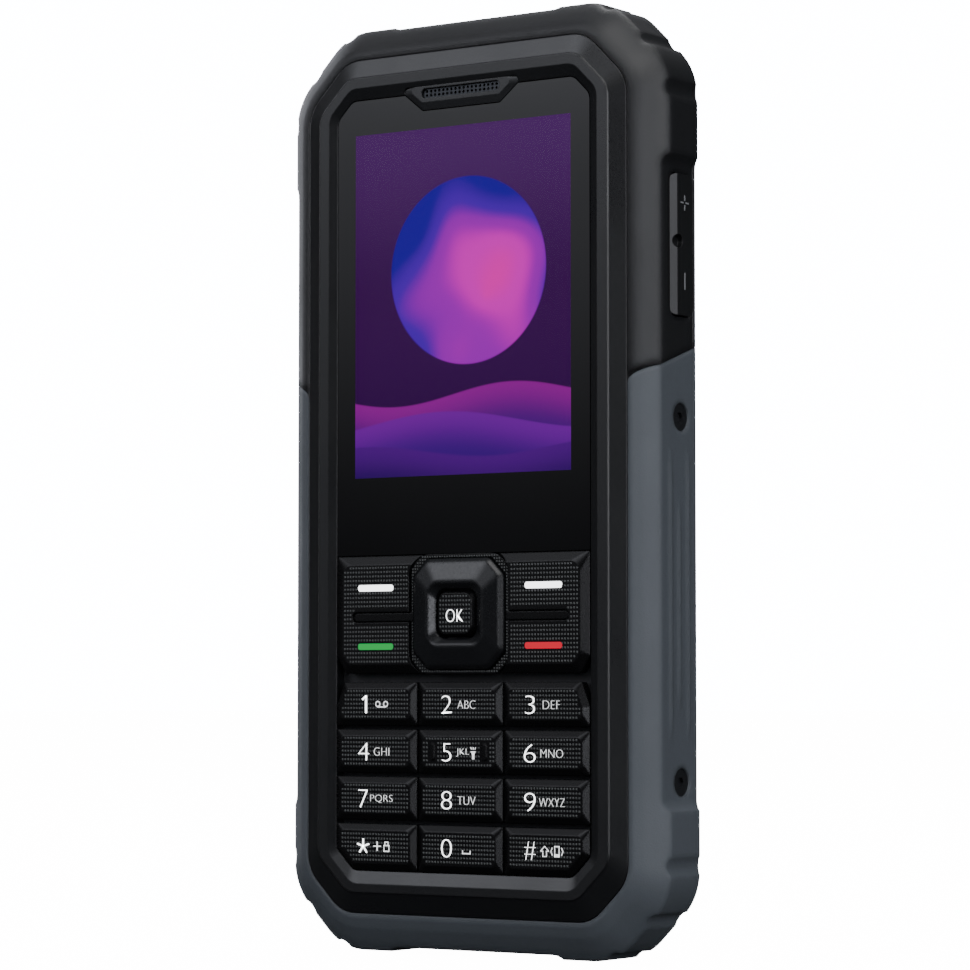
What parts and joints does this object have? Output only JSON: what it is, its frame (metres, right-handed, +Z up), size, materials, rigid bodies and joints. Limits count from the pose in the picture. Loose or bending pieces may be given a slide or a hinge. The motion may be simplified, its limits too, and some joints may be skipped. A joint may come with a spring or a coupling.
{
  "type": "mobile phone",
  "caption": "Rugged bar phone with a keypad below a small display, side volume key, flapped sockets, rear camera and screwed-on battery cover.",
  "frame": {"origin": "on the standing surface under the lower edge, midway across the width and midway through the greatest depth", "axes": "+Z runs up the phone from the lower edge to the top edge, the display faces -Y, +X is the right of the person who looks at the display"},
  "size_m": [0.0636, 0.0172, 0.1314],
  "materials": {
    "black_shell": "matt moulded plastic, lightly textured",
    "rim": "satin moulded plastic",
    "grey_shell": "matt rubber over plastic",
    "key": "satin plastic with a dotted top",
    "pad_frame": "satin grey plastic",
    "pad_ring": "glossy faceted plastic",
    "web": "natural plastic",
    "cover_glass": "clear glass, printed black round the edge",
    "display": "lit colour display under a film",
    "tray": "rolled sheet",
    "earpiece": "satin grey plastic",
    "mesh": "perforated sheet, dark finish",
    "receiver": "drawn sheet",
    "mat": "silicone rubber",
    "dome": "spring steel",
    "board": "solder mask over glass-fibre board",
    "can": "tinned sheet",
    "socket": "drawn steel",
    "insulator": "moulded plastic",
    "ceramic_part": "moulded block",
    "seal": "silicone rubber",
    "battery": "wrapped plastic case",
    "contact": "gold plated",
    "screw": "blackened steel",
    "coin_screw": "turned steel",
    "volume": "satin plastic",
    "flap": "matt rubber",
    "lens": "clear moulded lens",
    "led": "phosphor block",
    "camera": "black lens module",
    "camera_ring": "anodised dark grey",
    "weight": "sintered heavy metal"
  },
  "bodies": {
    "base": {"front_bezel": "rim", "front_housing": "black_shell", "rear_housing": "black_shell", "lower_shell": "grey_shell", "housing_seal": "seal", "cover_seal": "seal", "battery": "battery", "battery_contacts": "contact", "sim_holder": "socket", "display_glass": "cover_glass", "display_panel": "display", "display_tray": "tray", "earpiece_tab": "earpiece", "earpiece_grille": "mesh", "earpiece_receiver": "receiver", "nav_frame": "pad_frame", "keypad_mat": "mat", "dome_switches": "dome", "main_board": "board", "shield_can": "can", "volume_switch": "insulator", "side_screws": "screw", "housing_screws": "screw", "usb_connector": "socket", "headphone_jack": "insulator", "camera_module": "camera", "camera_glass": "lens", "camera_ring": "camera_ring", "flash_led": "led", "torch_led": "led", "torch_lens": "lens", "loudspeaker": "insulator", "vibration_motor": "can", "microphone": "can", "antenna": "ceramic_part"},
    "key_1": {"key_1": "key"},
    "key_2": {"key_2": "key"},
    "key_3": {"key_3": "key"},
    "key_4": {"key_4": "key"},
    "key_5": {"key_5": "key"},
    "key_6": {"key_6": "key"},
    "key_7": {"key_7": "key"},
    "key_8": {"key_8": "key"},
    "key_9": {"key_9": "key"},
    "key_star": {"key_star": "key"},
    "key_0": {"key_0": "key"},
    "key_hash": {"key_hash": "key"},
    "ok_key": {"ok_key": "key"},
    "left_rocker_key": {"left_rocker_key": "key"},
    "right_rocker_key": {"right_rocker_key": "key"},
    "dpad_web": {"dpad_web": "web"},
    "dpad_ring": {"dpad_ring": "pad_ring"},
    "volume_key": {"volume_key": "volume"},
    "usb_flap": {"usb_flap": "flap"},
    "jack_flap": {"jack_flap": "flap"},
    "battery_cover": {"battery_cover": "black_shell"},
    "cover_screw_left": {"cover_screw_left": "coin_screw"},
    "cover_screw_right": {"cover_screw_right": "coin_screw"},
    "motor_weight": {"motor_weight": "weight"}
  },
  "joints": [
    {"name": "key_1_press", "type": "slide", "parent": "base", "child": "key_1", "axis": [0, 1, 0], "range_m": [0, 0.0004], "stiffness_N_per_m": 1500},
    {"name": "key_2_press", "type": "slide", "parent": "base", "child": "key_2", "axis": [0, 1, 0], "range_m": [0, 0.0004], "stiffness_N_per_m": 1500},
    {"name": "key_3_press", "type": "slide", "parent": "base", "child": "key_3", "axis": [0, 1, 0], "range_m": [0, 0.0004], "stiffness_N_per_m": 1500},
    {"name": "key_4_press", "type": "slide", "parent": "base", "child": "key_4", "axis": [0, 1, 0], "range_m": [0, 0.0004], "stiffness_N_per_m": 1500},
    {"name": "key_5_press", "type": "slide", "parent": "base", "child": "key_5", "axis": [0, 1, 0], "range_m": [0, 0.0004], "stiffness_N_per_m": 1500},
    {"name": "key_6_press", "type": "slide", "parent": "base", "child": "key_6", "axis": [0, 1, 0], "range_m": [0, 0.0004], "stiffness_N_per_m": 1500},
    {"name": "key_7_press", "type": "slide", "parent": "base", "child": "key_7", "axis": [0, 1, 0], "range_m": [0, 0.0004], "stiffness_N_per_m": 1500},
    {"name": "key_8_press", "type": "slide", "parent": "base", "child": "key_8", "axis": [0, 1, 0], "range_m": [0, 0.0004], "stiffness_N_per_m": 1500},
    {"name": "key_9_press", "type": "slide", "parent": "base", "child": "key_9", "axis": [0, 1, 0], "range_m": [0, 0.0004], "stiffness_N_per_m": 1500},
    {"name": "key_star_press", "type": "slide", "parent": "base", "child": "key_star", "axis": [0, 1, 0], "range_m": [0, 0.0004], "stiffness_N_per_m": 1500},
    {"name": "key_0_press", "type": "slide", "parent": "base", "child": "key_0", "axis": [0, 1, 0], "range_m": [0, 0.0004], "stiffness_N_per_m": 1500},
    {"name": "key_hash_press", "type": "slide", "parent": "base", "child": "key_hash", "axis": [0, 1, 0], "range_m": [0, 0.0004], "stiffness_N_per_m": 1500},
    {"name": "ok_key_press", "type": "slide", "parent": "base", "child": "ok_key", "axis": [0, 1, 0], "range_m": [0, 0.0004], "stiffness_N_per_m": 1500},
    {"name": "left_rocker_tilt", "type": "hinge", "parent": "base", "child": "left_rocker_key", "pos_m": [-0.014, -0.0059, 0.04738], "axis": [1, 0, 0], "range_deg": [-2.2, 2.2], "stiffness_Nm_per_rad": 0.25},
    {"name": "right_rocker_tilt", "type": "hinge", "parent": "base", "child": "right_rocker_key", "pos_m": [0.014, -0.0059, 0.04738], "axis": [1, 0, 0], "range_deg": [-2.2, 2.2], "stiffness_Nm_per_rad": 0.25},
    {"name": "pad_tilt_up_down", "type": "hinge", "parent": "base", "child": "dpad_web", "pos_m": [0, -0.00575, 0.04738], "axis": [1, 0, 0], "range_deg": [-2.2, 2.2], "stiffness_Nm_per_rad": 0.25},
    {"name": "pad_tilt_left_right", "type": "hinge", "parent": "dpad_web", "child": "dpad_ring", "pos_m": [0, -0.00645, 0.04738], "axis": [0, 0, 1], "range_deg": [-2.2, 2.2], "stiffness_Nm_per_rad": 0.25},
    {"name": "volume_key_tilt", "type": "hinge", "parent": "base", "child": "volume_key", "pos_m": [0.0296, 0.00122, 0.09745], "axis": [0, 1, 0], "range_deg": [-2, 2], "stiffness_Nm_per_rad": 0.25},
    {"name": "usb_flap_hinge", "type": "hinge", "parent": "base", "child": "usb_flap", "pos_m": [-0.00635, -0.00027, 0.00125], "axis": [0, 1, 0], "range_deg": [0, 95]},
    {"name": "jack_flap_hinge", "type": "hinge", "parent": "base", "child": "jack_flap", "pos_m": [0.0039, 0.0009, 0.13046], "axis": [0, -1, 0], "range_deg": [0, 95]},
    {"name": "battery_cover_lift", "type": "slide", "parent": "base", "child": "battery_cover", "axis": [0, 1, 0], "range_m": [0, 0.008]},
    {"name": "cover_screw_left_turn", "type": "hinge", "parent": "battery_cover", "child": "cover_screw_left", "pos_m": [-0.012, 0.008, 0.018], "axis": [0, 1, 0], "continuous": true},
    {"name": "cover_screw_right_turn", "type": "hinge", "parent": "battery_cover", "child": "cover_screw_right", "pos_m": [0.012, 0.008, 0.018], "axis": [0, 1, 0], "continuous": true},
    {"name": "motor_weight_spin", "type": "hinge", "parent": "base", "child": "motor_weight", "pos_m": [-0.014, 0.0037, 0.1], "axis": [1, 0, 0], "continuous": true}
  ]
}
